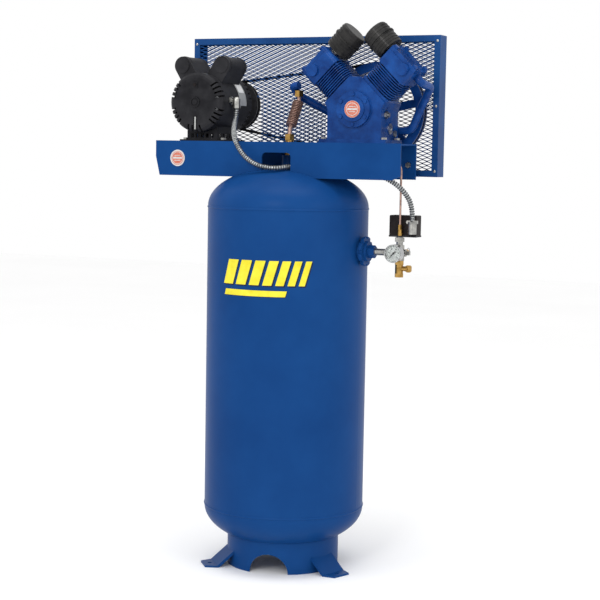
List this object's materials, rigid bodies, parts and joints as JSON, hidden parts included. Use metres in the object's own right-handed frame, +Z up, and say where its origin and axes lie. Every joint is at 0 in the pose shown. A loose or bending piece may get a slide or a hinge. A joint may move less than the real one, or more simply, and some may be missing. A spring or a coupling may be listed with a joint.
{
  "type": "vertical tank air compressor",
  "caption": "Belt-driven V pump and electric motor on a deck above a standing air tank, with a mesh belt guard, gauge, pressure switch and outlet valve.",
  "frame": {"origin": "on the floor, at the centre of the three base bolts, under the tank's axis", "axes": "+Z up the tank's axis; -Y towards the front, where the deck's apron is; +X to the right, towards the gauge"},
  "size_m": [0.887, 0.5194, 1.7184],
  "materials": {
    "receiver_paint": "gloss enamel",
    "deck_paint": "gloss enamel",
    "guard_paint": "gloss enamel",
    "pump_paint": "enamel on castings",
    "motor_paint": "semi-gloss",
    "zinc_steel": "zinc plated",
    "bright_steel": "ground",
    "cast_iron": "as cast",
    "aluminium": "machined",
    "brass": "bright",
    "copper": "dull copper",
    "badge_metal": "satin, coppery",
    "belt_rubber": "matt",
    "black_plastic": "fine grain",
    "filter_black": "ribbed",
    "red_plastic": "smooth",
    "needle_black": "matt",
    "clear_glass": "clear",
    "filter_paper": "pleated paper",
    "conduit_steel": "interlocked strip"
  },
  "bodies": {
    "compressor_frame": {"tank_shell": "receiver_paint", "tank_top_head": "receiver_paint", "tank_bottom_head": "receiver_paint", "tank_couplings": "receiver_paint", "tank_side_flange": "receiver_paint", "base_skirt": "receiver_paint", "mounting_feet": "receiver_paint", "drain_valve_body": "brass", "deck_channel": "deck_paint", "hex_bolts": "zinc_steel", "round_badges": "badge_metal", "guard_frame": "guard_paint", "guard_mesh_panels": "guard_paint", "drive_belt": "belt_rubber", "motor_frame": "motor_paint", "motor_front_bell": "motor_paint", "motor_rear_bell": "motor_paint", "motor_stator": "cast_iron", "capacitor_covers": "motor_paint", "motor_capacitors": "aluminium", "shaft_bearings": "bright_steel", "crankcase": "pump_paint", "front_bearing_cover": "pump_paint", "cylinder_left": "pump_paint", "cylinder_right": "pump_paint", "valve_plates": "pump_paint", "head_left": "pump_paint", "head_right": "pump_paint", "pump_bolts": "pump_paint", "intake_nipples": "zinc_steel", "filter_housings": "filter_black", "filter_elements": "filter_paper", "oil_sight_glass": "aluminium", "crankcase_plugs": "zinc_steel", "discharge_manifold": "pump_paint", "aftercooler_tube": "copper", "brass_nuts": "brass", "check_valve": "brass", "unloader_tube": "copper", "wiring_conduit": "conduit_steel", "conduit_connectors": "zinc_steel", "pressure_manifold": "zinc_steel", "gauge_body": "bright_steel", "gauge_lens": "clear_glass", "pressure_switch_base": "motor_paint", "pressure_switch_cover": "black_plastic", "outlet_valve_body": "brass", "safety_valve_body": "brass"},
    "crank": {"crankshaft": "bright_steel", "flywheel": "pump_paint"},
    "motor_shaft": {"motor_rotor": "bright_steel", "motor_pulley": "cast_iron"},
    "left_piston": {"piston_left": "aluminium"},
    "right_piston": {"piston_right": "aluminium"},
    "outlet_handle": {"outlet_valve_handle": "brass"},
    "drain_handle": {"drain_valve_handle": "brass"},
    "needle": {"gauge_needle": "needle_black"},
    "relief_ring": {"safety_valve_ring": "bright_steel"},
    "on_off_lever": {"switch_lever": "red_plastic"},
    "reset": {"reset_button": "black_plastic"}
  },
  "joints": [
    {"name": "crank_spin", "type": "hinge", "parent": "compressor_frame", "child": "crank", "pos_m": [0.225, 0.192, 1.448], "axis": [0, 1, 0], "continuous": true},
    {"name": "motor_spin", "type": "hinge", "parent": "compressor_frame", "child": "motor_shaft", "pos_m": [-0.285, 0.192, 1.466], "axis": [0, 1, 0], "continuous": true},
    {"name": "left_piston_slide", "type": "slide", "parent": "compressor_frame", "child": "left_piston", "axis": [-0.7071, 0, 0.7071], "range_m": [-0.028, 0.028]},
    {"name": "right_piston_slide", "type": "slide", "parent": "compressor_frame", "child": "right_piston", "axis": [0.7071, 0, 0.7071], "range_m": [-0.028, 0.028]},
    {"name": "outlet_valve_turn", "type": "hinge", "parent": "compressor_frame", "child": "outlet_handle", "pos_m": [0.4, 0, 0.963], "axis": [1, 0, 0], "range_deg": [0, 90]},
    {"name": "drain_valve_turn", "type": "hinge", "parent": "compressor_frame", "child": "drain_handle", "pos_m": [0, -0.018, 0.029], "axis": [0, 1, 0], "range_deg": [0, 90]},
    {"name": "gauge_reading", "type": "hinge", "parent": "compressor_frame", "child": "needle", "pos_m": [0.38, -0.05, 1.011], "axis": [0, 1, 0], "range_deg": [0, 270], "stiffness_Nm_per_rad": 0.002},
    {"name": "relief_pull", "type": "slide", "parent": "compressor_frame", "child": "relief_ring", "axis": [0, 1, 0], "range_m": [0, 0.004], "stiffness_N_per_m": 1500},
    {"name": "on_off_turn", "type": "hinge", "parent": "compressor_frame", "child": "on_off_lever", "pos_m": [0.397, 0.03, 1.091], "axis": [0, 1, 0], "range_deg": [0, 40]},
    {"name": "reset_press", "type": "slide", "parent": "compressor_frame", "child": "reset", "axis": [0, 1, 0], "range_m": [0, 0.003], "stiffness_N_per_m": 300}
  ],
  "couplings": [
    {"joint": "motor_spin", "follows": "crank_spin", "ratio": 2.0336}
  ]
}
